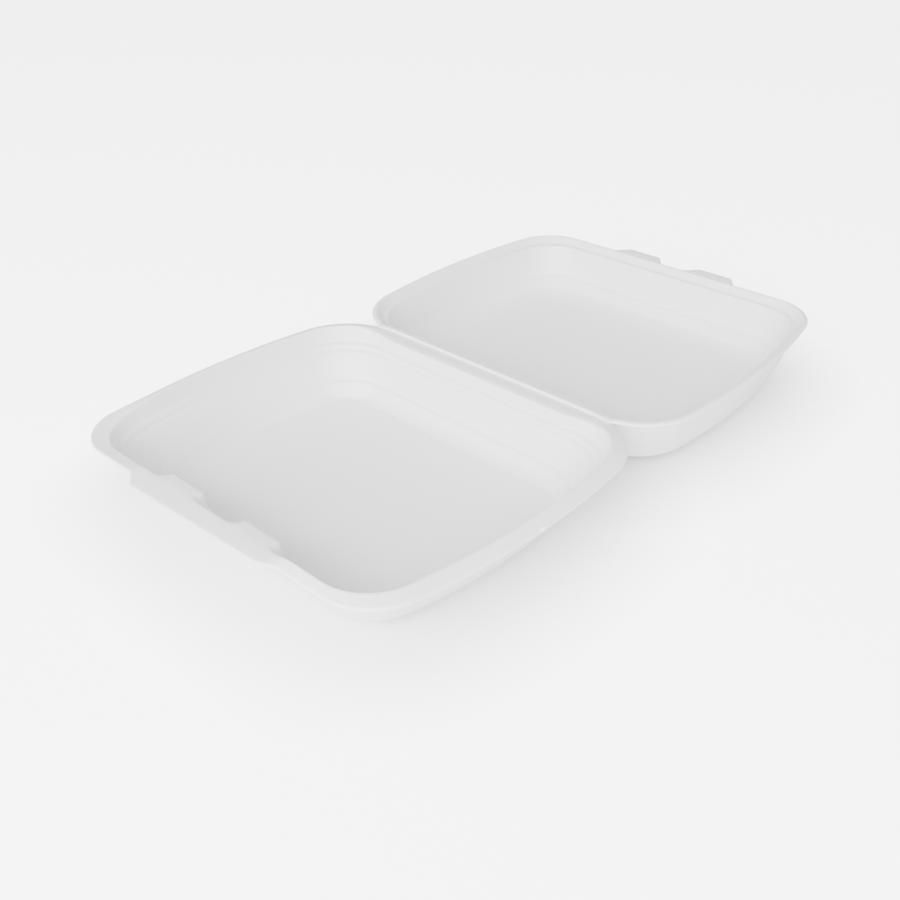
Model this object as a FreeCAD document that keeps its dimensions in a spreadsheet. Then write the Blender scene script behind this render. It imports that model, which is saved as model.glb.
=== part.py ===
import FreeCAD, Part
import os
import Sketcher
from math import hypot, sqrt

# Hinged food box of white foam, thermoformed in one piece and lying open.
# Two shallow trays share one straight fold line. The base stands on the table
# and has a wide lock flap; the lid carries two lock tabs on its far edge.
# X runs along the fold, Y from the base to the lid, Z up.
# The origin is on the table under the middle of the base.

doc = FreeCAD.newDocument("clamshell")
V = FreeCAD.Vector

sheet = doc.addObject("Spreadsheet::Sheet", "sizes")
sizes = [
    ("hinge_width", 235.0, "rim width at the fold, corner to corner"),
    ("front_width", 225.0, "rim width at the edge away from the fold, corner to corner"),
    ("side_bow", 11.5, "bow of each side beyond the straight line between its corners"),
    ("rim_depth", 200.0, "rim of one tray, fold to outer edge"),
    ("hinge_corner", 40.0, "rim corner radius beside the fold"),
    ("front_corner", 33.0, "rim corner radius away from the fold"),
    ("corner_shrink", 0.4, "loss of corner radius per unit of inset"),
    ("foam", 2.4, "foam sheet thickness"),
    ("edge_foam", 2.0, "pressed foam thickness of flanges, flap and tabs"),
    ("skin_share", 0.8, "share of the foam by which the outer skin lies out and down"),
    ("edge_bevel", 0.5, "softening of the free rim edges"),
    ("tip_round", 3.0, "corner radius of the flap and the tabs"),
    ("fold_gap", 0.3, "clearance between the two rims, on the fold and when shut"),
    ("fold_half", 93.0, "half length of the fold"),
    ("fold_land", 7.0, "width of the straight land beside the fold"),
    ("crease_width", 5.0, "width of the pressed crease beside the fold"),
    ("crease_depth", 0.8, "depth of the pressed crease"),
    ("lid_tilt", 1.4, "angle by which the open lid stays above flat"),
    ("base_height", 38.5, "base, table to rim"),
    ("base_flange", 7.8, "base flange width"),
    ("band_inset", 9.8, "foot of the base's upright stacking band"),
    ("band_drop", 8.8, "depth of the stacking band below the rim"),
    ("ledge_inset", 12.2, "inner edge of the stacking ledge"),
    ("ledge_drop", 9.5, "depth of the ledge's inner edge"),
    ("base_wall_inset", 23.8, "foot of the base's slanted wall"),
    ("base_wall_drop", 28.2, "depth of the slanted wall's foot"),
    ("base_cove_inset", 27.8, "middle of the cove round the base floor"),
    ("base_cove_drop", 33.2, "depth of the middle of the cove"),
    ("base_floor_inset", 33.0, "edge of the base floor"),
    ("floor_corner", 9.0, "corner radius of the floors"),
    ("foot_corner", 14.0, "corner radius of the undersides"),
    ("lid_height", 38.0, "lid, rim to underside"),
    ("lid_land", 2.6, "flat outer land of the lid rim"),
    ("bevel_inset", 7.4, "inner edge of the lid rim's bevel"),
    ("bevel_drop", 3.2, "depth of the bevel's inner edge"),
    ("groove_inset", 8.6, "inner edge of the small step below the bevel"),
    ("groove_drop", 3.8, "depth of that step"),
    ("lid_wall_inset", 14.0, "foot of the lid's steep wall"),
    ("lid_wall_drop", 28.8, "depth of the steep wall's foot"),
    ("lid_cove_inset", 20.2, "middle of the cove round the lid floor"),
    ("lid_cove_drop", 33.6, "depth of the middle of the cove"),
    ("lid_floor_inset", 30.0, "edge of the lid floor"),
    ("flap_root", 114.0, "lock flap width at the rim"),
    ("flap_tip", 95.0, "lock flap width at its free edge"),
    ("flap_reach", 8.6, "lock flap reach beyond the rim"),
    ("tab_root", 41.0, "lock tab width at the rim"),
    ("tab_tip", 26.0, "lock tab width at its free edge"),
    ("tab_reach", 10.2, "lock tab reach beyond the rim"),
    ("tab_spread", 59.6, "distance between the middles of the two tabs"),
    ("seat_clearance", 3.0, "room on each side of a tab's free edge on its seat"),
    ("seat_reach", 7.0, "reach of a tab seat into the base, past the flange"),
    ("seat_drop", 3.6, "fall of a tab seat towards the cavity"),
    ("seat_run", 7.0, "length over which a seat's ends run out into the wall"),
]
for row, (alias, value, note) in enumerate(sizes, start=1):
    sheet.set("A%d" % row, note)
    sheet.set("B%d" % row, str(value))
    sheet.setAlias("B%d" % row, alias)
doc.recompute()


def tray_body(name):
    body = doc.addObject("PartDesign::Body", name)
    body.Label = name
    return body


def plane(body, role):
    return [f for f in body.Origin.OriginFeatures if f.Role == role][0]


def level_sketch(body, name, height, inset, hinge_corner, front_corner, side):
    """Rounded, bowed outline at one height. side is 1 where the fold lies at +Y, -1 at -Y."""
    sketch = body.newObject("Sketcher::SketchObject", name)
    sketch.AttachmentSupport = [(plane(body, "XY_Plane"), "")]
    sketch.MapMode = "FlatFace"
    sketch.setExpression("AttachmentOffset.Base.z", height)
    for prop, formula in (
        ("Inset", inset),
        ("HingeCorner", hinge_corner),
        ("FrontCorner", front_corner),
        ("HalfDepth", "sizes.rim_depth / 2 - (%s)" % inset),
        ("HingeHalf", "sizes.hinge_width / 2 - (%s)" % inset),
        ("MiddleHalf", "(sizes.hinge_width + sizes.front_width) / 4 + sizes.side_bow - (%s)" % inset),
        ("FrontHalf", "sizes.front_width / 2 - (%s)" % inset),
        ("Centre", "0 * sizes.rim_depth" if side > 0 else "(sizes.rim_depth + sizes.fold_gap) / 2"),
    ):
        sketch.addProperty("App::PropertyFloat", prop, "Outline")
        sketch.setExpression(prop, formula)
    doc.recompute()

    half, mid = sketch.HalfDepth, V(sketch.MiddleHalf, sketch.Centre, 0)
    hinge_y = sketch.Centre + side * half
    front_y = sketch.Centre - side * half
    bow = Part.Arc(V(sketch.HingeHalf, hinge_y, 0), mid, V(sketch.FrontHalf, front_y, 0)).toShape().Curve
    centre, radius = bow.Center, bow.Radius

    def corner(y_edge, towards, r):
        y = y_edge + towards * r
        x = centre.x + sqrt((radius - r) ** 2 - (y - centre.y) ** 2)
        reach = radius / hypot(x - centre.x, y - centre.y)
        touch = V(centre.x + (x - centre.x) * reach, centre.y + (y - centre.y) * reach, 0)
        way = (touch - V(x, y, 0)).normalize() + V(0, -towards, 0)
        middle = V(x, y, 0) + way.normalize() * r
        return V(x, y_edge, 0), middle, touch

    hinge_edge, hinge_mid, hinge_side = corner(hinge_y, -side, sketch.HingeCorner)
    front_edge, front_mid, front_side = corner(front_y, side, sketch.FrontCorner)

    def mirrored(point):
        return V(-point.x, point.y, 0)

    right = [
        Part.LineSegment(mirrored(hinge_edge), hinge_edge),
        Part.Arc(hinge_edge, hinge_mid, hinge_side),
        Part.Arc(hinge_side, mid, front_side),
        Part.Arc(front_side, front_mid, front_edge),
    ]
    left = [
        Part.LineSegment(front_edge, mirrored(front_edge)),
        Part.Arc(mirrored(front_edge), mirrored(front_mid), mirrored(front_side)),
        Part.Arc(mirrored(front_side), mirrored(mid), mirrored(hinge_side)),
        Part.Arc(mirrored(hinge_side), mirrored(hinge_mid), mirrored(hinge_edge)),
    ]
    ring = [sketch.addGeometry(edge, False) for edge in right + left]
    hinge_line, hinge_right, side_right, front_right = ring[:4]
    front_line, front_left, side_left, hinge_left = ring[4:]

    def ends(geo):
        """Start and end vertex numbers in ring order, for arcs stored the other way round."""
        if geo in (hinge_line, front_line):
            return 1, 2
        return (2, 1) if side > 0 else (1, 2)

    for here, following in zip(ring, ring[1:] + ring[:1]):
        sketch.addConstraint(
            Sketcher.Constraint("Tangent", here, ends(here)[1], following, ends(following)[0])
        )

    def driven(kind, refs, value, name, formula):
        index = sketch.addConstraint(Sketcher.Constraint(kind, *refs, value))
        sketch.renameConstraint(index, name)
        sketch.setExpression("Constraints." + name, formula)

    sketch.addConstraint(Sketcher.Constraint("Horizontal", hinge_line))
    sketch.addConstraint(Sketcher.Constraint("Horizontal", front_line))
    sign = "+" if side > 0 else "-"
    other = "-" if side > 0 else "+"
    driven("DistanceY", (-1, 1, hinge_line, 1), hinge_y, "hinge_y", ".Centre %s .HalfDepth" % sign)
    driven("DistanceY", (-1, 1, front_line, 1), front_y, "front_y", ".Centre %s .HalfDepth" % other)
    driven("Radius", (hinge_right,), sketch.HingeCorner, "hinge_r", ".HingeCorner")
    driven("Radius", (front_right,), sketch.FrontCorner, "front_r", ".FrontCorner")
    sketch.addConstraint(Sketcher.Constraint("Equal", hinge_right, hinge_left))
    sketch.addConstraint(Sketcher.Constraint("Equal", front_right, front_left))
    for hand, arc in ((1, side_right), (-1, side_left)):
        minus = "" if hand > 0 else "-"
        for key, x, y, formula_x, formula_y in (
            ("hinge", sketch.HingeHalf, hinge_y, ".HingeHalf", ".Centre %s .HalfDepth" % sign),
            ("middle", sketch.MiddleHalf, sketch.Centre, ".MiddleHalf", ".Centre"),
            ("front", sketch.FrontHalf, front_y, ".FrontHalf", ".Centre %s .HalfDepth" % other),
        ):
            point = sketch.addGeometry(Part.Point(V(hand * x, y, 0)), True)
            tag = "%s_%s" % (key, "right" if hand > 0 else "left")
            driven("DistanceX", (-1, 1, point, 1), hand * x, tag + "_x", minus + formula_x)
            driven("DistanceY", (-1, 1, point, 1), y, tag + "_y", formula_y)
            sketch.addConstraint(Sketcher.Constraint("PointOnObject", point, 1, arc))
    return sketch


def shrunk(radius, inset):
    return "%s - sizes.corner_shrink * (%s)" % (radius, inset)


def level(body, name, rim, inset, drop, side, corner=None, skin=False):
    """Outline of a tray wall where it has come in by inset and down by drop."""
    if skin:
        inset = "%s - sizes.skin_share * sizes.foam" % inset
        drop = "%s + sizes.skin_share * sizes.foam" % drop
    hinge_corner = corner or shrunk("sizes.hinge_corner", inset)
    front_corner = corner or shrunk("sizes.front_corner", inset)
    height = "%s - (%s)" % (rim, drop)
    return level_sketch(body, name, height, inset, hinge_corner, front_corner, side)


def loft(body, kind, name, sections):
    feature = body.newObject("PartDesign::" + kind, name)
    feature.Profile = sections[0]
    feature.Sections = sections[1:]
    feature.Ruled = True
    feature.Closed = False
    doc.recompute()
    return feature


def pad(body, name, sketch, length):
    feature = body.newObject("PartDesign::Pad", name)
    feature.Profile = sketch
    feature.setExpression("Length", length)
    doc.recompute()
    return feature


def trapezoid(body, name, height, edge_y, outward, root, tip, reach, lap, middle):
    """Flap or tab outline that widens towards the rim, lapping the rim by lap."""
    sketch = body.newObject("Sketcher::SketchObject", name)
    sketch.AttachmentSupport = [(plane(body, "XY_Plane"), "")]
    sketch.MapMode = "FlatFace"
    sketch.setExpression("AttachmentOffset.Base.z", height)
    for prop, formula in (
        ("EdgeY", edge_y),
        ("Root", root),
        ("Tip", tip),
        ("Reach", reach),
        ("Lap", lap),
        ("Middle", middle),
    ):
        sketch.addProperty("App::PropertyFloat", prop, "Outline")
        sketch.setExpression(prop, formula)
    doc.recompute()
    sign = "+" if outward > 0 else "-"
    other = "-" if outward > 0 else "+"
    points = [
        (".Middle - .Root / 2", ".EdgeY %s .Lap" % other),
        (".Middle + .Root / 2", ".EdgeY %s .Lap" % other),
        (".Middle + .Root / 2", ".EdgeY"),
        (".Middle + .Tip / 2", ".EdgeY %s .Reach" % sign),
        (".Middle - .Tip / 2", ".EdgeY %s .Reach" % sign),
        (".Middle - .Root / 2", ".EdgeY"),
    ]
    values = [
        V(sketch.Middle - sketch.Root / 2, sketch.EdgeY - outward * sketch.Lap, 0),
        V(sketch.Middle + sketch.Root / 2, sketch.EdgeY - outward * sketch.Lap, 0),
        V(sketch.Middle + sketch.Root / 2, sketch.EdgeY, 0),
        V(sketch.Middle + sketch.Tip / 2, sketch.EdgeY + outward * sketch.Reach, 0),
        V(sketch.Middle - sketch.Tip / 2, sketch.EdgeY + outward * sketch.Reach, 0),
        V(sketch.Middle - sketch.Root / 2, sketch.EdgeY, 0),
    ]
    closed_polygon(sketch, points, values)
    return sketch


def closed_polygon(sketch, points, values):
    """Straight-sided outline whose corners follow the formulas in points."""
    count = len(values)
    for k in range(count):
        sketch.addGeometry(Part.LineSegment(values[k], values[(k + 1) % count]), False)
    for k in range(count):
        sketch.addConstraint(Sketcher.Constraint("Coincident", k, 2, (k + 1) % count, 1))
    for k, ((formula_x, formula_y), value) in enumerate(zip(points, values)):
        for kind, formula, number in (("DistanceX", formula_x, value.x), ("DistanceY", formula_y, value.y)):
            index = sketch.addConstraint(Sketcher.Constraint(kind, -1, 1, k, 1, number))
            sketch.renameConstraint(index, "%s_%d" % (kind, k))
            sketch.setExpression("Constraints.%s_%d" % (kind, k), formula)


def strip(body, name, height, x_half, near, far):
    """Rectangle along the fold between two distances in Y."""
    sketch = body.newObject("Sketcher::SketchObject", name)
    sketch.AttachmentSupport = [(plane(body, "XY_Plane"), "")]
    sketch.MapMode = "FlatFace"
    sketch.setExpression("AttachmentOffset.Base.z", height)
    for prop, formula in (("Half", x_half), ("Near", near), ("Far", far)):
        sketch.addProperty("App::PropertyFloat", prop, "Outline")
        sketch.setExpression(prop, formula)
    doc.recompute()
    points = [("-.Half", ".Near"), (".Half", ".Near"), (".Half", ".Far"), ("-.Half", ".Far")]
    half, low, high = sketch.Half, sketch.Near, sketch.Far
    values = [V(-half, low, 0), V(half, low, 0), V(half, high, 0), V(-half, high, 0)]
    closed_polygon(sketch, points, values)
    return sketch


def soften_free_edges(body, name, rim_z, fold_y):
    """Takes the sharpness off the outer edge of the rim's top face, clear of the fold."""
    solid = body.Tip.Shape
    flat = [face for face in solid.Faces if abs(face.CenterOfMass.z - rim_z) < 1e-3]
    ring = max(flat, key=lambda face: face.Area).OuterWire.Edges
    names = []
    for number, edge in enumerate(solid.Edges, start=1):
        box = edge.BoundBox
        near_fold = min(abs(box.YMin - fold_y), abs(box.YMax - fold_y)) < sheet.fold_land + 1
        if not near_fold and any(edge.isSame(other) for other in ring):
            names.append("Edge%d" % number)
    carrier = body.Tip
    feature = body.newObject("PartDesign::Chamfer", name)
    feature.Base = (carrier, names)
    feature.setExpression("Size", "sizes.edge_bevel")
    doc.recompute()
    return feature


def round_corners(body, name, tip_y):
    """Rounds the upright corners at the free edge of a flap or tab."""
    names = []
    for number, edge in enumerate(body.Tip.Shape.Edges, start=1):
        box = edge.BoundBox
        upright = box.ZLength > sheet.edge_foam / 2 and box.XLength + box.YLength < 1e-4
        if upright and abs(box.YMin - tip_y) < 1e-4:
            names.append("Edge%d" % number)
    carrier = body.Tip
    feature = body.newObject("PartDesign::Fillet", name)
    feature.Base = (carrier, names)
    feature.setExpression("Radius", "sizes.tip_round")
    doc.recompute()
    return feature


# Base tray. Its body's frame is the part's frame.
base = tray_body("base_tray")
BASE_RIM = "sizes.base_height"
BASE_FRONT = "-sizes.rim_depth / 2"
base_steps = [
    ("Flange", "sizes.base_flange", "0 * sizes.foam", None),
    ("Band", "sizes.band_inset", "sizes.band_drop", None),
    ("Ledge", "sizes.ledge_inset", "sizes.ledge_drop", None),
    ("Wall", "sizes.base_wall_inset", "sizes.base_wall_drop", None),
    ("Cove", "sizes.base_cove_inset", "sizes.base_cove_drop", None),
    ("Floor", "sizes.base_floor_inset", "sizes.base_height - sizes.foam", "sizes.floor_corner"),
]


def build_tray(body, prefix, rim, side, steps, skin_steps, foot, height):
    """Rim plate, tapering skin below it and the cavity cut through both."""
    zero = "0 * sizes.foam"
    rim_outline = level(body, prefix + "RimOutline", rim, zero, "sizes.edge_foam", side)
    pad(body, prefix + "Rim", rim_outline, "sizes.edge_foam")
    skin = [level(body, prefix + "SkinTop", rim, foot["top"], "sizes.edge_foam / 2", side)]
    for name, inset, drop, corner in steps:
        if name in skin_steps:
            skin.append(level(body, prefix + "Skin" + name, rim, inset, drop, side, corner, skin=True))
    foot_level = level(body, prefix + "Foot", rim, foot["inset"], height, side, "sizes.foot_corner")
    skin.append(foot_level)
    loft(body, "AdditiveLoft", prefix + "Skin", skin)
    first = steps[0]
    cavity = [level(body, prefix + "Mouth", rim, first[1], "-sizes.foam", side)]
    for name, inset, drop, corner in steps:
        cavity.append(level(body, prefix + "Inner" + name, rim, inset, drop, side, corner))
    loft(body, "SubtractiveLoft", prefix + "Cavity", cavity)


build_tray(
    base,
    "Base",
    BASE_RIM,
    1,
    base_steps,
    ("Band", "Ledge", "Wall", "Cove"),
    {"top": "sizes.base_flange - sizes.foam", "inset": "sizes.base_floor_inset - sizes.foam / 4"},
    "sizes.base_height",
)


flap = trapezoid(
    base,
    "FlapOutline",
    BASE_RIM + " - sizes.edge_foam",
    BASE_FRONT,
    -1,
    "sizes.flap_root",
    "sizes.flap_tip",
    "sizes.flap_reach",
    "sizes.base_flange / 2",
    "0 * sizes.flap_root",
)
pad(base, "Flap", flap, "sizes.edge_foam")
round_corners(base, "FlapCorners", base.Tip.Shape.BoundBox.YMin)


def seat_section(name, x, reach, top_drop, foot_inset, foot_drop):
    """Cut through a tab seat at one distance along the front edge."""
    sketch = base.newObject("Sketcher::SketchObject", name)
    sketch.AttachmentSupport = [(plane(base, "YZ_Plane"), "")]
    sketch.MapMode = "FlatFace"
    sketch.setExpression("AttachmentOffset.Base.z", x)
    corners = [
        ("sizes.base_flange - sizes.edge_foam / 5", "sizes.seat_drop / 40"),
        (reach, top_drop),
        (foot_inset, foot_drop),
        ("sizes.ledge_inset", "sizes.ledge_drop + sizes.foam"),
        ("sizes.band_inset", "sizes.band_drop + sizes.foam / 2"),
        ("sizes.base_flange", "3 * sizes.edge_foam / 2"),
    ]
    for k, (inset, drop) in enumerate(corners):
        sketch.addProperty("App::PropertyFloat", "Along%d" % k, "Outline")
        sketch.setExpression("Along%d" % k, "%s + (%s)" % (BASE_FRONT, inset))
        sketch.addProperty("App::PropertyFloat", "Up%d" % k, "Outline")
        sketch.setExpression("Up%d" % k, "%s - (%s)" % (BASE_RIM, drop))
    doc.recompute()
    points = [(".Along%d" % k, ".Up%d" % k) for k in range(len(corners))]
    values = [
        V(getattr(sketch, "Along%d" % k), getattr(sketch, "Up%d" % k), 0) for k in range(len(corners))
    ]
    closed_polygon(sketch, points, values)
    return sketch


# A tab seat is a short ledge that lies lower than the flange and reaches into the cavity.
# Its foot ends inside the slanted wall, wherever that wall stands.
seat_edge = "sizes.base_flange + sizes.seat_reach"
wall_slope = "(sizes.base_wall_drop - sizes.ledge_drop) / (sizes.base_wall_inset - sizes.ledge_inset)"
full_foot = "sizes.ledge_drop + (%s - sizes.ledge_inset) * %s + sizes.foam / 2" % (seat_edge, wall_slope)
low_foot = ("sizes.ledge_inset + sizes.foam / 5", "sizes.ledge_drop + sizes.foam")
low_edge = ("sizes.base_flange + sizes.foam / 25", "2 * sizes.edge_foam / 3")
for hand, sign in (("Left", "-"), ("Right", "")):
    middle = sign + "sizes.tab_spread / 2"
    half = "(sizes.tab_tip / 2 + sizes.seat_clearance)"
    run = "sizes.seat_run / 2"
    cuts = []
    for key, x, whole in (
        ("A", "%s - %s - %s" % (middle, half, run), False),
        ("B", "%s - %s + %s" % (middle, half, run), True),
        ("C", "%s + %s - %s" % (middle, half, run), True),
        ("D", "%s + %s + %s" % (middle, half, run), False),
    ):
        if whole:
            cuts.append(seat_section("Seat" + hand + key, x, seat_edge, "sizes.seat_drop", seat_edge, full_foot))
        else:
            cuts.append(seat_section("Seat" + hand + key, x, *low_edge, *low_foot))
    loft(base, "AdditiveLoft", "Seat" + hand, cuts)


def fold_edge(body, prefix, rim, near, far, crease):
    """Straight land beside the fold, which fills the notches' inner ends, and the crease in it."""
    land = strip(body, prefix + "LandOutline", rim + " - sizes.edge_foam", "sizes.fold_half", near, far)
    pad(body, prefix + "Land", land, "sizes.edge_foam")
    if crease:
        line = strip(body, prefix + "CreaseOutline", rim, "sizes.fold_half", *crease)
        pocket = body.newObject("PartDesign::Pocket", prefix + "Crease")
        pocket.Profile = line
        pocket.setExpression("Length", "sizes.crease_depth")
        doc.recompute()


BASE_FOLD = "sizes.rim_depth / 2"
fold_edge(
    base,
    "Base",
    BASE_RIM,
    BASE_FOLD + " - sizes.fold_land",
    BASE_FOLD,
    (BASE_FOLD + " - sizes.crease_width", BASE_FOLD),
)
soften_free_edges(base, "BaseRimEdge", base.Tip.Shape.BoundBox.ZMax, base.Tip.Shape.BoundBox.YMax)

# Lid tray. Its body's origin lies on the fold's axis, so the lid's tilt turns it there.
lid = tray_body("lid_tray")
LID_RIM = "-sizes.fold_gap / 2"
LID_FRONT = "sizes.fold_gap / 2 + sizes.rim_depth"
lid_steps = [
    ("Land", "sizes.lid_land", "0 * sizes.foam", None),
    ("Bevel", "sizes.bevel_inset", "sizes.bevel_drop", None),
    ("Groove", "sizes.groove_inset", "sizes.groove_drop", None),
    ("Wall", "sizes.lid_wall_inset", "sizes.lid_wall_drop", None),
    ("Cove", "sizes.lid_cove_inset", "sizes.lid_cove_drop", None),
    ("Floor", "sizes.lid_floor_inset", "sizes.lid_height - sizes.foam", "sizes.floor_corner"),
]
build_tray(
    lid,
    "Lid",
    LID_RIM,
    -1,
    lid_steps,
    ("Bevel", "Wall", "Cove"),
    {"top": "sizes.lid_land / 4", "inset": "sizes.lid_floor_inset - sizes.foam / 4"},
    "sizes.lid_height",
)
for hand, sign in (("Left", "-"), ("Right", "")):
    tab = trapezoid(
        lid,
        "Tab%sOutline" % hand,
        LID_RIM + " - sizes.edge_foam",
        LID_FRONT,
        1,
        "sizes.tab_root",
        "sizes.tab_tip",
        "sizes.tab_reach",
        "sizes.lid_land / 2",
        sign + "sizes.tab_spread / 2",
    )
    pad(lid, "Tab" + hand, tab, "sizes.edge_foam")
round_corners(lid, "TabCorners", lid.Tip.Shape.BoundBox.YMax)
fold_edge(lid, "Lid", LID_RIM, "sizes.fold_gap / 2", "sizes.fold_gap / 2 + sizes.fold_land", None)
soften_free_edges(lid, "LidRimEdge", lid.Tip.Shape.BoundBox.ZMax, lid.Tip.Shape.BoundBox.YMin)

lid.setExpression("Placement.Base.y", "sizes.rim_depth / 2 + sizes.fold_gap / 2")
lid.setExpression("Placement.Base.z", "sizes.base_height + sizes.fold_gap / 2")
lid.Placement = FreeCAD.Placement(lid.Placement.Base, FreeCAD.Rotation(V(1, 0, 0), 1))
lid.setExpression("Placement.Rotation.Angle", "sizes.lid_tilt")

doc.recompute()
for item in doc.Objects:
    if "Invalid" in item.State or "Error" in item.State:
        raise RuntimeError("%s did not rebuild" % item.Name)

os.makedirs("parts", exist_ok=True)
for body in (base, lid):
    shape = body.Shape
    if shape.isNull() or not shape.isValid() or len(shape.Solids) != 1:
        raise RuntimeError("%s is not one sound solid" % body.Label)
    shape.exportStep("parts/%s.step" % body.Label)
    print(body.Label, round(shape.Volume), shape.BoundBox)
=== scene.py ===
import bmesh
import bpy
import numpy as np
from mathutils import Matrix, Vector


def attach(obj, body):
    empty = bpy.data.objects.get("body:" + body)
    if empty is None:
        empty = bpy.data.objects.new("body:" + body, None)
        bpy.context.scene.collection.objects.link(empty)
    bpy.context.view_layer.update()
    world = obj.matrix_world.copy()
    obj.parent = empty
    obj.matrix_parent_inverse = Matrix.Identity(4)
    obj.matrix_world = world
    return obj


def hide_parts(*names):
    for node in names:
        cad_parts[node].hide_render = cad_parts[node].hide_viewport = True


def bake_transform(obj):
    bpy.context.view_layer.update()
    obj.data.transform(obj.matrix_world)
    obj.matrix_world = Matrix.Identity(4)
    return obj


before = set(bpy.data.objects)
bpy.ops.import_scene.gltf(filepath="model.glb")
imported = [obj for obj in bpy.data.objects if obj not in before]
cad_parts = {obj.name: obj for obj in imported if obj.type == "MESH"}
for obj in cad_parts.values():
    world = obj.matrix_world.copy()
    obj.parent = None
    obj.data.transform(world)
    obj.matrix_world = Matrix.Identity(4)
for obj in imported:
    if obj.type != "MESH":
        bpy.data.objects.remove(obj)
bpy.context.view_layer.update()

# White foam food box, open, with a base tray, a lid tray and the fold between them.
# Lengths in the dictionaries are millimetres in the frame of the solids.
# X runs along the fold, Y from the base to the lid, Z up.
millimetre = 0.001
scene = bpy.context.scene

# Outline of both rims. Inset is measured inwards from the rim's edge.
rim = {
    "hingeHalf": 117.5,
    "frontHalf": 112.5,
    "middleHalf": 126.5,  # the sides bow out to this half width
    "halfDepth": 100.0,
    "hingeCorner": 40.0,
    "frontCorner": 33.0,
    "shrink": 0.4,  # corner radius lost for each millimetre of inset
    "plate": 2.0,  # thickness of the rim's edge
    "edgeRound": 0.95,
    "foldHalf": 93.0,
    "foldFade": 6.0,
    "gap": 0.3,
    "creaseDrop": 1.2,  # only what lies above this drop is pressed or raised at the fold
}
floorCorner = 9.0
footCorner = 14.0
flatEnd = 9.0  # how far the profile runs on into the floor and the foot
profileStep = 1.6
count = {
    "hinge": 40,
    "hingeCorner": 60,
    "side": 56,
    "frontCorner": 40,
    "front": 130,
    "cap": 12,
}


# Cubic ease from 0 at low to 1 at high: 3t^2 - 2t^3.
def smooth(value, low, high):
    t = np.clip((value - low) / (high - low), 0.0, 1.0)
    return t * t * (3.0 - 2.0 * t)


# Ramp from 1 inside tip to 0 outside root, whose two bends are parabolas of the given share.
def trapezoidRamp(distance, root, tip, bend=0.22):
    t = (root - distance) / (root - tip)
    low = np.where(t < bend, np.where(t < -bend, 0.0, (t + bend) ** 2 / (4.0 * bend)), t)
    u = 1.0 - low
    high = np.where(u < bend, np.where(u < -bend, 0.0, (u + bend) ** 2 / (4.0 * bend)), u)
    return 1.0 - high


# Dense points along a polyline whose bends are rounded with the radius given at each point.
def roundedPath(points, step):
    corner = np.array([p[:2] for p in points], float)
    radius = [p[2] if len(p) > 2 else 0.0 for p in points]
    path = [corner[0]]
    for k in range(1, len(corner) - 1):
        before = corner[k - 1] - corner[k]
        after = corner[k + 1] - corner[k]
        lengthA, lengthB = np.linalg.norm(before), np.linalg.norm(after)
        a, b = before / lengthA, after / lengthB
        half = 0.5 * np.arccos(np.clip(a @ b, -1.0, 1.0))
        cut = min(radius[k] / max(np.tan(half), 1e-6), 0.48 * lengthA, 0.48 * lengthB)
        turn = np.pi - 2.0 * half
        steps = max(3, int(np.ceil(turn / 0.28)))
        t = np.linspace(0.0, 1.0, steps)[:, None]
        start, end = corner[k] + a * cut, corner[k] + b * cut
        # quadratic curve through the two touch points, pulled towards the corner
        path.extend((1 - t) ** 2 * start + 2 * t * (1 - t) * corner[k] + t**2 * end)
    path.append(corner[-1])
    path = np.array(path)
    filled = [path[:1]]
    for p, q in zip(path[:-1], path[1:]):
        pieces = max(1, int(np.ceil(np.linalg.norm(q - p) / step)))
        filled.append(p + (q - p) * (np.arange(1, pieces + 1) / pieces)[:, None])
    return np.vstack(filled)


# One closed ring for each inset: straight fold edge, corner arcs, bowed sides, straight front.
def rings(inset, hingeR, frontR):
    i = inset[:, None]
    h = rim["halfDepth"] - i
    a, m, b = rim["hingeHalf"] - i, rim["middleHalf"] - i, rim["frontHalf"] - i
    # circle of the bowed side through (a, h), (m, 0) and (b, -h)
    cx = (2 * m * m - a * a - b * b - 2 * h * h) / (2 * (2 * m - a - b))
    cy = (2 * (m - a) * cx - (m * m - a * a - h * h)) / (2 * h)
    sideR = np.hypot(m - cx, cy)

    # centre of a corner arc that touches the straight edge and, from inside, the side's circle
    def corner(edge, way, r):
        y = edge - way * r
        x = cx + np.sqrt((sideR - r) ** 2 - (y - cy) ** 2)
        reach = sideR / np.hypot(x - cx, y - cy)
        return x, y, cx + (x - cx) * reach, cy + (y - cy) * reach

    hr, fr = hingeR[:, None], frontR[:, None]
    hx, hy, htx, hty = corner(h, 1, hr)
    fx, fy, ftx, fty = corner(-h, -1, fr)

    def arc(x, y, r, start, end, n):
        t = start + (end - start) * (np.arange(n) / n)
        return x + r * np.cos(t), y + r * np.sin(t)

    quarter = np.full_like(h, np.pi / 2)
    hingeTouch = np.arctan2(hty - hy, htx - hx)
    frontTouch = np.arctan2(fty - fy, ftx - fx)
    sideStart, sideEnd = np.arctan2(hty - cy, htx - cx), np.arctan2(fty - cy, ftx - cx)
    t = np.arange(count["hinge"]) / count["hinge"]
    parts = [(hx * t, h + 0 * hx * t)]
    parts.append(arc(hx, hy, hr, quarter, hingeTouch, count["hingeCorner"]))
    parts.append(arc(cx, cy, sideR, sideStart, sideEnd, count["side"]))
    parts.append(arc(fx, fy, fr, frontTouch, -quarter, count["frontCorner"]))
    t = np.linspace(1.0, 0.0, count["front"])
    parts.append((fx * t, -h + 0 * fx * t))
    x = np.hstack([p[0] for p in parts])
    v = np.hstack([p[1] for p in parts])
    return np.hstack([x, -x[:, -2:0:-1]]), np.hstack([v, v[:, -2:0:-1]])


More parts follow.
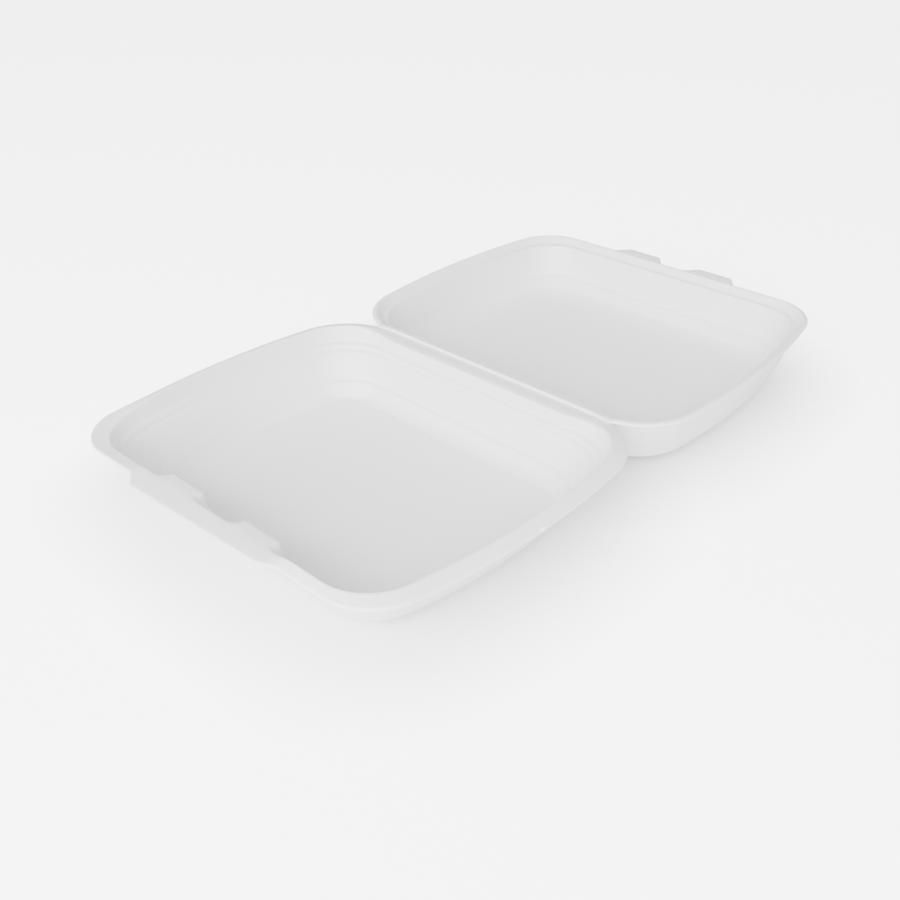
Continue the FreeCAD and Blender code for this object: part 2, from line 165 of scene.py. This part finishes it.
# Natural edge of the rim beside the fold, straight and then a corner arc,
# before the land fills the notches' inner ends.
def hingeEdge(x):
    start = rim["hingeHalf"] - rim["hingeCorner"]
    over = np.clip(np.abs(x) - start, 0.0, rim["hingeCorner"] - 0.01)
    inner = rim["halfDepth"] - rim["hingeCorner"]
    return inner + np.sqrt(rim["hingeCorner"] ** 2 - over**2)


# Smooth-shaded object at the origin, with its place in its mesh, from points in millimetres.
def makeObject(name, verts, faces):
    mesh = bpy.data.meshes.new(name)
    mesh.from_pydata((verts * millimetre).tolist(), [], faces)
    mesh.update()
    mesh.polygons.foreach_set("use_smooth", np.ones(len(mesh.polygons), bool))
    obj = bpy.data.objects.new(name, mesh)
    scene.collection.objects.link(obj)
    return obj


# On a closed shell the recalculated normals point out of the foam.
def faceOutward(obj):
    mesh = bmesh.new()
    mesh.from_mesh(obj.data)
    bmesh.ops.recalc_face_normals(mesh, faces=mesh.faces)
    mesh.to_mesh(obj.data)
    mesh.free()


# Quads between neighbouring rings, then a fan of triangles to the first and the last vertex.
def shellFaces(ringCount, n):
    k = np.arange(n)
    following = (k + 1) % n
    quads = []
    for r in range(ringCount - 1):
        low, high = 1 + r * n, 1 + (r + 1) * n
        quads.append(np.stack([low + k, low + following, high + following, high + k], 1))
    quads = np.vstack(quads)
    last = 1 + ringCount * n
    top = np.stack([np.zeros(n, int), 1 + following, 1 + k], 1)
    end = 1 + (ringCount - 1) * n
    bottom = np.stack([np.full(n, last), end + k, end + following], 1)
    return quads.tolist() + top.tolist() + bottom.tolist()


# Profile of one tray as a single closed path: floor, wall, rim, round the edge and back beneath.
def trayProfile(tray):
    edge = [(0.0, 0.0, rim["edgeRound"]), (0.0, rim["plate"], rim["edgeRound"])]
    floorInset, floorDrop, _ = tray["inner"][0]
    footInset, footDrop, _ = tray["outer"][-1]
    start = [(floorInset + flatEnd, floorDrop)]
    end = [(footInset + flatEnd, footDrop)]
    path = roundedPath(start + tray["inner"] + edge + tray["outer"] + end, profileStep)
    split = int(np.argmin(np.abs(path[:, 0]) + np.abs(path[:, 1] - rim["plate"] / 2)))
    return path, split


# Corner radius at each station: the rim's, less a share of the inset, eased to that of the
# floor inside the tray and to that of the foot outside it.
def cornerRadii(path, split, tray):
    inset = path[:, 0]
    inside = np.arange(len(path)) <= split
    toFloor = smooth(inset, tray["inner"][1][0], tray["inner"][0][0])
    toFoot = smooth(inset, tray["outer"][-2][0], tray["outer"][-1][0])
    radii = []
    for full in (rim["hingeCorner"], rim["frontCorner"]):
        wall = full - rim["shrink"] * inset
        floorSide = wall + (floorCorner - wall) * toFloor
        footSide = wall + (footCorner - wall) * toFoot
        radii.append(np.where(inside, floorSide, footSide))
    return radii


# A tray is its profile carried round its rings, shaped at the front and at the fold.
def buildTray(tray, front, hinge):
    path, split = trayProfile(tray)
    hingeR, frontR = cornerRadii(path, split, tray)
    x, v = rings(path[:, 0], hingeR, frontR)
    drop = np.repeat(path[:, 1:2], x.shape[1], 1)
    x, v, drop = front(x, v, drop, path, split)
    x, v, drop = hinge(x, v, drop, path, split)
    # the floor and the foot shrink to their middles in equal steps
    share = np.linspace(1.0, 0.0, count["cap"] + 1)[1:-1]
    capTop = [(x[:1] * s, v[:1] * s, drop[:1]) for s in share[::-1]]
    capLow = [(x[-1:] * s, v[-1:] * s, drop[-1:]) for s in share]
    rows = capTop + [(x, v, drop)] + capLow
    x, v, drop = (np.vstack([r[k] for r in rows]) for k in range(3))
    flat = np.stack([x.ravel(), v.ravel(), drop.ravel()], 1)
    first = np.array([[0.0, 0.0, drop[0, 0]]])
    last = np.array([[0.0, 0.0, drop[-1, 0]]])
    return np.vstack([first, flat, last]), shellFaces(x.shape[0], x.shape[1])


# Arc length along the profile from its start, in millimetres.
def pathLength(path):
    return np.concatenate([[0.0], np.cumsum(np.hypot(*np.diff(path, axis=0).T))])


# Share by which a flap or tab pulls each station out: 1 at the edge, 0 where the wall begins.
def pullShare(path, split, topWidth, lowWidth):
    inside = np.arange(len(path)) <= split
    width = np.where(inside, topWidth, lowWidth)
    return np.clip(1.0 - path[:, 0] / width, 0.0, 1.0)


# Share of the fold's straight land, 1 along the fold and eased to 0 past its ends.
def foldShare(x, v):
    low, high = rim["foldHalf"] - rim["foldFade"], rim["foldHalf"] + rim["foldFade"]
    return (1.0 - smooth(np.abs(x), low, high)) * (v > 0)


# Between the notches the rim is pushed out from its corner arcs to one straight edge.
def fillNotch(x, v, path, split, tray):
    share = pullShare(path, split, tray["flange"], tray["underFlange"])[:, None]
    onFold = 1.0 - smooth(np.abs(x), rim["foldHalf"] - 1.6, rim["foldHalf"] + 1.2)
    push = (rim["halfDepth"] - hingeEdge(x)) * onFold * share
    return v + np.where(v > 0, push, 0.0), onFold


base = {
    "height": 38.5,
    "flange": 7.8,
    "underFlange": 5.4,
    # inset, drop below the rim, rounding at that point
    "inner": [
        (33.0, 36.1, 4.0),
        (27.8, 33.2, 4.0),
        (24.4, 27.6, 0.9),
        (23.0, 27.0, 0.9),
        (14.6, 12.2, 0.7),
        (13.1, 11.6, 0.5),
        (12.3, 8.5, 0.6),
        (9.6, 8.0, 0.6),
        (7.8, 0.0, 1.3),
    ],
    "outer": [
        (5.4, 2.0, 1.2),
        (7.9, 10.7, 1.2),
        (10.3, 11.4, 1.6),
        (21.9, 30.1, 5.0),
        (25.9, 35.1, 4.0),
        (32.4, 38.5, 3.0),
    ],
    "flapRoot": 57.0,
    "flapTip": 47.5,
    "flapReach": 5.6,
    "flapSkew": 0.024,
    "frontSkew": 2.6,
    "skewFrom": -110.0,
    "skewTo": 90.0,
    "crest": 1.8,
    "crestInset": 6.8,
    "crestFade": 8.0,
    "edgeFall": 0.8,
    "cornerTurn": 1.5,
    "cornerSpanY": (45.0, 85.0),
    "cornerSpanX": (30.0, 70.0),
    "creaseWidth": 3.0,
    "creaseEdge": 0.9,
    "creaseDepth": 0.8,
    "foldWiden": 3.6,
    "widenSpan": (66.0, 92.0),
    "widenDrop": 12.3,
}
seat = {
    "reach": 8.2,
    "drop": 1.6,
    "middle": 29.8,
    "half": 16.0,
    "run": 9.0,  # width of the slope at each end
    "start": 5.6,  # inset where the seat leaves the flange
    "wallInset": 16.8,  # inset where it runs out in the wall
    "face": (0.15, 7.5, 3.0),  # lean, drop and rounding halfway down
    "edgeRound": 1.0,
    "mouth": (0.5, 0.3, 4.0),  # past the flange, drop and rounding
    "step": 0.4,
}


# Two low seats lead from the flange into the cavity. Each station of the wall moves, by the
# seat's weight, to the point at the same share of arc length along the seat's own profile.
def addSeats(x, v, drop, path, split):
    seatInset = base["flange"] + seat["reach"]
    footInset, footDrop, _ = base["inner"][3]
    topInset, topDrop, _ = base["inner"][4]
    wallDrop = topDrop + (seat["wallInset"] - topInset) * (footDrop - topDrop) / (
        footInset - topInset
    )
    length = pathLength(path)
    toStart = np.abs(path[:split, 0] - seat["start"]) + np.abs(path[:split, 1])
    flangeEdge = int(np.argmin(toStart))
    toWall = np.hypot(path[:split, 0] - seat["wallInset"], path[:split, 1] - wallDrop)
    wallFoot = int(np.argmin(toWall))
    lean, faceDrop, faceRound = seat["face"]
    past, mouthDrop, mouthRound = seat["mouth"]
    profile = roundedPath(
        [
            tuple(path[wallFoot]),
            (seatInset + lean, faceDrop, faceRound),
            (seatInset, seat["drop"], seat["edgeRound"]),
            (base["flange"] + past, mouthDrop, mouthRound),
            tuple(path[flangeEdge]),
        ],
        seat["step"],
    )
    along = pathLength(profile)
    rows = np.arange(wallFoot, flangeEdge + 1)
    share = (length[rows] - length[wallFoot]) / (length[flangeEdge] - length[wallFoot])
    target = np.stack([np.interp(share * along[-1], along, profile[:, k]) for k in (0, 1)], 1)
    off = np.abs(np.abs(x[rows]) - seat["middle"])
    run = seat["run"] / 2
    weight = 1.0 - smooth(off, seat["half"] - run, seat["half"] + run)
    weight = np.where((v < 0)[rows], weight, 0.0)
    v[rows] += weight * (target[:, 0] - path[rows, 0])[:, None]
    drop[rows] += weight * (target[:, 1] - path[rows, 1])[:, None]
    return v, drop


# The lock flap widens the front flange, and the flange leans outwards from a low crest.
def baseFront(x, v, drop, path, split):
    front = v < 0
    share = pullShare(path, split, base["flange"], base["underFlange"])[:, None]
    reach = trapezoidRamp(np.abs(x), base["flapRoot"], base["flapTip"])
    reach = reach * (base["flapReach"] - base["flapSkew"] * x)
    # the front edge is not quite square to the sides: it draws in towards +X
    reach = reach - base["frontSkew"] * smooth(x, base["skewFrom"], base["skewTo"])
    v = v - np.where(front, reach * share, 0.0)
    v, drop = addSeats(x, v, drop, path, split)
    # outside the flap and the fold the flange leans outwards from a crest at its inner edge
    flapSpan = trapezoidRamp(np.abs(x), base["flapRoot"] + 3.0, base["flapTip"] + 1.0) * front
    cornerSpan = smooth(-v, *base["cornerSpanY"]) * smooth(-x, *base["cornerSpanX"])
    lean = 1.0 - np.maximum(flapSpan, foldShare(x, v))
    lean = lean * (1.0 - base["cornerTurn"] * cornerSpan)
    inside = np.arange(len(path)) <= split
    rise = np.clip(path[:, 0] / base["crestInset"], 0.0, 1.0)
    top = np.where(inside, 0.0, rim["plate"])
    fade = np.clip(1.0 - (path[:, 1] - top) / base["crestFade"], 0.0, 1.0)
    fall = base["edgeFall"] * np.clip(1.0 - path[:, 0] / base["crestInset"], 0.0, 1.0)
    lift = (base["crest"] * rise - fall) * fade
    return x, v, drop - lean * lift[:, None]


# The crease pressed into the base beside the fold.
def baseHinge(x, v, drop, path, split):
    v, onFold = fillNotch(x, v, path, split, base)
    top = (np.arange(len(path)) <= split)[:, None] & (drop < rim["creaseDrop"])
    distance = rim["halfDepth"] - v
    edge = base["creaseWidth"] - base["creaseEdge"]
    pressed = 1.0 - smooth(distance, edge, base["creaseWidth"])
    dip = base["creaseDepth"] * pressed * onFold
    drop = drop + np.where(top & (v > 0), dip * (1.0 - drop / rim["creaseDrop"]), 0.0)
    # beside the fold the flange is wider and the band below it runs out into the wall
    inside = np.arange(len(path)) <= split
    span = 1.0 - smooth(np.abs(x), *base["widenSpan"])
    across = np.clip(path[:, 0] / base["flange"], 0.0, 1.0)
    inner = across * np.clip(1.0 - path[:, 1] / base["widenDrop"], 0.0, 1.0)
    widen = np.where(inside, base["foldWiden"] * inner, 0.0)[:, None] * span
    return x, v - np.where(v > 0, widen, 0.0), drop


# Drop below the rim becomes height above the table.
def basePlace(points):
    return np.stack([points[:, 0], points[:, 1], base["height"] - points[:, 2]], 1)


lid = {
    "flange": 7.4,
    "underFlange": 1.8,
    "inner": [
        (30.0, 35.6, 5.0),
        (21.2, 33.8, 4.0),
        (15.0, 26.6, 0.9),
        (13.4, 25.9, 0.9),
        (8.3, 4.9, 0.7),
        (5.6, 4.4, 0.6),
        (2.3, 0.0, 0.7),
    ],
    "outer": [
        (1.8, 2.0, 0.8),
        (4.4, 5.6, 1.2),
        (12.1, 30.7, 4.0),
        (18.3, 35.5, 4.0),
        (29.4, 38.0, 3.0),
    ],
    "tabRoot": 20.5,
    "tabTip": 13.0,
    "tabReach": 10.2,
    "tabMiddle": 29.8,
    "landWidth": 2.2,
    "landFall": 0.3,
    "tabFall": 0.1,
    "tilt": 1.4,  # degrees above flat
    "axisY": 100.15,
    "axisZ": 38.65,
    "bead": 0.55,
    "beadMiddle": 1.2,
    "beadWidth": 0.8,
    "foldLift": 3.2,
    "liftInset": (2.0, 5.6),
    "liftDrop": 4.9,
    "liftFade": 12.0,
    "liftSpan": (74.0, 96.0),
}


# Two lock tabs lie level with the lid rim's outer land.
def lidFront(x, v, drop, path, split):
    ramp = trapezoidRamp(np.abs(np.abs(x) - lid["tabMiddle"]), lid["tabRoot"], lid["tabTip"])
    share = pullShare(path, split, lid["landWidth"], lid["underFlange"])[:, None]
    pull = ramp * lid["tabReach"] * share
    # the outer land and the tabs lean down a little, away from the cavity
    fall = share * (lid["landFall"] + lid["tabFall"] * ramp * (v < 0))
    return x, v - np.where(v < 0, pull, 0.0), drop + fall * (1.0 - foldShare(x, v))


# A thin bead, a bell curve across the land, runs along the lid's edge at the fold.
def lidHinge(x, v, drop, path, split):
    v, onFold = fillNotch(x, v, path, split, lid)
    top = (np.arange(len(path)) <= split)[:, None] & (drop < rim["creaseDrop"])
    distance = rim["halfDepth"] - v
    bell = np.exp(-(((distance - lid["beadMiddle"]) / lid["beadWidth"]) ** 2))
    drop = drop - np.where(top & (v > 0), lid["bead"] * bell * onFold, 0.0)
    # beside the fold the bevel is shallower
    inside = np.arange(len(path)) <= split
    rise = smooth(path[:, 0], *lid["liftInset"])
    rise = rise * np.clip(1.0 - (path[:, 1] - lid["liftDrop"]) / lid["liftFade"], 0.0, 1.0)
    span = 1.0 - smooth(np.abs(x), *lid["liftSpan"])
    lift = np.where(inside, lid["foldLift"] * rise, 0.0)[:, None] * span
    return x, v, drop - np.where(v > 0, lift, 0.0)


# The lid's own frame is turned over the fold's axis and tilted up from flat.
def lidPlace(points):
    along = rim["gap"] / 2 + rim["halfDepth"] - points[:, 1]
    up = -rim["gap"] / 2 - points[:, 2]
    t = np.radians(lid["tilt"])
    y = lid["axisY"] + along * np.cos(t) - up * np.sin(t)
    z = lid["axisZ"] + along * np.sin(t) + up * np.cos(t)
    return np.stack([points[:, 0], y, z], 1)


verts, faces = buildTray(base, baseFront, baseHinge)
baseFoam = makeObject("baseFoam", basePlace(verts), faces)
verts, faces = buildTray(lid, lidFront, lidHinge)
lidFoam = makeObject("lidFoam", lidPlace(verts), faces)
for foam, body, node, slotName in (
    (baseFoam, "base", "base_tray", "base_foam"),
    (lidFoam, "lid", "lid_tray", "lid_foam"),
):
    faceOutward(foam)
    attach(foam, body)
    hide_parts(node)
print("trays built:", len(baseFoam.data.polygons), len(lidFoam.data.polygons))

# Thin web of foam that joins the two rims under the crease.
web = {
    "half": 92.4,
    "near": 98.6,
    "far": 101.7,
    "top": 37.55,
    "low": 36.75,
    "across": 14,
    "along": 96,
}


# A flat grid of points for the top, the same grid for the underside, and four rows of side quads.
def buildWeb():
    across = np.linspace(web["near"], web["far"], web["across"])
    along = np.linspace(-web["half"], web["half"], web["along"])
    x, y = np.meshgrid(along, across, indexing="ij")
    top = np.stack([x.ravel(), y.ravel(), np.full(x.size, web["top"])], 1)
    low = np.stack([x.ravel(), y.ravel(), np.full(x.size, web["low"])], 1)
    n = web["across"]
    i, j = np.meshgrid(np.arange(web["along"] - 1), np.arange(n - 1), indexing="ij")
    a = (i * n + j).ravel()
    quads = np.stack([a, a + n, a + n + 1, a + 1], 1)
    total = x.size
    sides = []
    for line in (
        np.arange(n),
        (web["along"] - 1) * n + np.arange(n)[::-1],
        np.arange(web["along"])[::-1] * n,
        np.arange(web["along"]) * n + n - 1,
    ):
        p, q = line[:-1], line[1:]
        sides.append(np.stack([p, q, q + total, p + total], 1))
    faces = np.vstack([quads, quads[:, ::-1] + total] + sides)
    return np.vstack([top, low]), faces.tolist()


verts, faces = buildWeb()
foldWeb = makeObject("foldWeb", verts, faces)
faceOutward(foldWeb)
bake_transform(foldWeb)
print("fold web built")

foamLook = {
    "light": 0.84,
    "shade": 0.80,
    "roughness": 0.4,
    "specular": 0.5,
    "cloudScale": 18.0,
    "cloudDetail": 3.0,
    "cellScale": 900.0,
    "cellDepth": 0.1,
    "rippleScale": 60.0,
    "bumpDistance": 0.0004,
}


# Foam finish: faint clouding of the white and a skin of shallow, soft cells.
# The height is the distance to the nearest cell plus a slow noise, turned into a normal.
def foamGroup():
    group = bpy.data.node_groups.new("foamSkin", "ShaderNodeTree")
    face = group.interface
    for name, kind, value in (
        ("Light", "NodeSocketColor", (0.8, 0.8, 0.8, 1)),
        ("Shade", "NodeSocketColor", (0.7, 0.7, 0.7, 1)),
        ("Cloud Scale", "NodeSocketFloat", foamLook["cloudScale"]),
        ("Cell Scale", "NodeSocketFloat", foamLook["cellScale"]),
        ("Cell Depth", "NodeSocketFloat", foamLook["cellDepth"]),
    ):
        face.new_socket(name=name, in_out="INPUT", socket_type=kind).default_value = value
    face.new_socket(name="Color", in_out="OUTPUT", socket_type="NodeSocketColor")
    face.new_socket(name="Normal", in_out="OUTPUT", socket_type="NodeSocketVector")
    nodes, links = group.nodes, group.links
    enter, leave = nodes.new("NodeGroupInput"), nodes.new("NodeGroupOutput")
    coord = nodes.new("ShaderNodeTexCoord")
    cloud = nodes.new("ShaderNodeTexNoise")
    cloud.inputs["Detail"].default_value = foamLook["cloudDetail"]
    cells = nodes.new("ShaderNodeTexVoronoi")
    cells.feature = "SMOOTH_F1"
    ripple = nodes.new("ShaderNodeTexNoise")
    ripple.inputs["Scale"].default_value = foamLook["rippleScale"]
    mix = nodes.new("ShaderNodeMix")
    mix.data_type = "RGBA"
    total = nodes.new("ShaderNodeMath")
    bump = nodes.new("ShaderNodeBump")
    bump.inputs["Distance"].default_value = foamLook["bumpDistance"]
    for texture, scale in ((cloud, "Cloud Scale"), (cells, "Cell Scale")):
        links.new(coord.outputs["Object"], texture.inputs["Vector"])
        links.new(enter.outputs[scale], texture.inputs["Scale"])
    links.new(coord.outputs["Object"], ripple.inputs["Vector"])
    links.new(cloud.outputs["Fac"], mix.inputs["Factor"])
    links.new(enter.outputs["Shade"], mix.inputs["A"])
    links.new(enter.outputs["Light"], mix.inputs["B"])
    links.new(cells.outputs["Distance"], total.inputs[0])
    links.new(ripple.outputs["Fac"], total.inputs[1])
    links.new(total.outputs["Value"], bump.inputs["Height"])
    links.new(enter.outputs["Cell Depth"], bump.inputs["Strength"])
    links.new(mix.outputs["Result"], leave.inputs["Color"])
    links.new(bump.outputs["Normal"], leave.inputs["Normal"])
    return group


skin = foamGroup()


# Foam white on the shader's own sockets, with the colour and relief from the group.
def foamMaterial(name):
    material = bpy.data.materials.new(name)
    material.use_nodes = True
    nodes, links = material.node_tree.nodes, material.node_tree.links
    shader = nodes["Principled BSDF"]
    shader.inputs["Roughness"].default_value = foamLook["roughness"]
    shader.inputs["Specular IOR Level"].default_value = foamLook["specular"]
    node = nodes.new("ShaderNodeGroup")
    node.node_tree = skin
    for socket, grey in (("Light", foamLook["light"]), ("Shade", foamLook["shade"])):
        node.inputs[socket].default_value = (grey, grey, grey, 1)
    links.new(node.outputs["Color"], shader.inputs["Base Color"])
    links.new(node.outputs["Normal"], shader.inputs["Normal"])
    return material


baseWhite = foamMaterial("baseWhiteFoam")
lidWhite = foamMaterial("lidWhiteFoam")
baseFoam.data.materials.append(baseWhite)
lidFoam.data.materials.append(lidWhite)
foldWeb.data.materials.append(baseWhite)
print("foam finish made")

# Plain pale floor that looks bright, but throws only a little of that light on to the foam.
ground = {
    "reach": 30.0,  # metres
    "grey": 0.92,
    "roughness": 0.9,
    "specular": 0.1,
    "glowSeen": 3.4,
    "glowThrown": 0.6,
    "shadowReach": 0.06,  # metres
    "shadowSamples": 16,
    "shadowDepth": 2.2,
}


# Glow = (thrown + seen * camera ray) * open share of the sky near the floor ^ shadow depth,
# so a painted soft shadow, a darkening of the floor's glow, lies close to the box.
def floorMaterial():
    material = bpy.data.materials.new("floorPaint")
    material.use_nodes = True
    nodes, links = material.node_tree.nodes, material.node_tree.links
    shader = nodes["Principled BSDF"]
    grey = ground["grey"]
    shader.inputs["Base Color"].default_value = (grey, grey, grey, 1)
    shader.inputs["Emission Color"].default_value = (1, 1, 1, 1)
    shader.inputs["Roughness"].default_value = ground["roughness"]
    shader.inputs["Specular IOR Level"].default_value = ground["specular"]
    ray = nodes.new("ShaderNodeLightPath")
    glow = nodes.new("ShaderNodeMath")
    glow.operation = "MULTIPLY_ADD"
    glow.inputs[1].default_value = ground["glowSeen"]
    glow.inputs[2].default_value = ground["glowThrown"]
    # Painted shadow: the floor's glow is darkened where the box closes off the sky above it.
    paintedShadowAO = nodes.new("ShaderNodeAmbientOcclusion")
    paintedShadowAO.samples = ground["shadowSamples"]
    paintedShadowAO.inputs["Distance"].default_value = ground["shadowReach"]
    deeper = nodes.new("ShaderNodeMath")
    deeper.operation = "POWER"
    deeper.inputs[1].default_value = ground["shadowDepth"]
    shaded = nodes.new("ShaderNodeMath")
    shaded.operation = "MULTIPLY"
    links.new(ray.outputs["Is Camera Ray"], glow.inputs[0])
    links.new(paintedShadowAO.outputs["AO"], deeper.inputs[0])
    links.new(glow.outputs["Value"], shaded.inputs[0])
    links.new(deeper.outputs["Value"], shaded.inputs[1])
    links.new(shaded.outputs["Value"], shader.inputs["Emission Strength"])
    return material


floorMesh = bpy.data.meshes.new("floor")
r = ground["reach"]
floorMesh.from_pydata([(-r, -r, 0), (r, -r, 0), (r, r, 0), (-r, r, 0)], [], [(0, 1, 2, 3)])
floor = bpy.data.objects.new("floor", floorMesh)
scene.collection.objects.link(floor)
floorMesh.materials.append(floorMaterial())

# Camera at the photograph's angle: degrees, metres, and pixels of a 900 by 900 frame.
view = {
    "azimuth": 41.238,
    "elevation": 32.404,
    "roll": 0.209,
    "distance": 0.5125,
    "target": (0.07165, 0.03680, 0.0385),
    "focal": 997.41,
    "centre": (504.80, 454.47),
    "image": 900.0,
    "sensor": 36.0,
}


# The camera stands back from its target along azimuth and elevation, turned by the roll.
def addCamera():
    az, el, roll = (np.radians(view[k]) for k in ("azimuth", "elevation", "roll"))
    back = Vector((np.sin(az) * np.cos(el), -np.cos(az) * np.cos(el), np.sin(el)))
    right = Vector((0, 0, 1)).cross(back).normalized()
    up = back.cross(right)
    turnedRight = right * np.cos(roll) + up * np.sin(roll)
    turnedUp = -right * np.sin(roll) + up * np.cos(roll)
    place = Vector(view["target"]) + back * view["distance"]
    data = bpy.data.cameras.new("camera")
    data.sensor_width = view["sensor"]
    data.lens = view["focal"] / view["image"] * view["sensor"]
    data.shift_x = (view["image"] / 2 - view["centre"][0]) / view["image"]
    data.shift_y = (view["centre"][1] - view["image"] / 2) / view["image"]
    camera = bpy.data.objects.new("camera", data)
    rows = Matrix((turnedRight, turnedUp, back)).transposed().to_4x4()
    camera.matrix_world = Matrix.Translation(place) @ rows
    scene.collection.objects.link(camera)
    scene.camera = camera


addCamera()

# Soft studio light: bright surroundings and one large panel in front of the base.
light = {
    "surroundings": 1.38,
    "place": (0.44, -1.23, 0.78),
    "aim": (0, 0.1, 0.02),
    "size": (2.1, 1.1),
    "power": 100.0,
}
world = bpy.data.worlds.new("studio")
world.use_nodes = True
background = world.node_tree.nodes["Background"]
background.inputs["Color"].default_value = (1, 1, 1, 1)
background.inputs["Strength"].default_value = light["surroundings"]
scene.world = world


# Rectangular lamp that faces its aim.
def addPanel(name):
    data = bpy.data.lights.new(name, "AREA")
    data.shape = "RECTANGLE"
    data.size, data.size_y = light["size"]
    data.energy = light["power"]
    lamp = bpy.data.objects.new(name, data)
    lamp.location = light["place"]
    aim = Vector(light["aim"]) - Vector(light["place"])
    lamp.rotation_euler = aim.to_track_quat("-Z", "Y").to_euler()
    scene.collection.objects.link(lamp)


addPanel("frontPanel")
print("stage and camera ready")
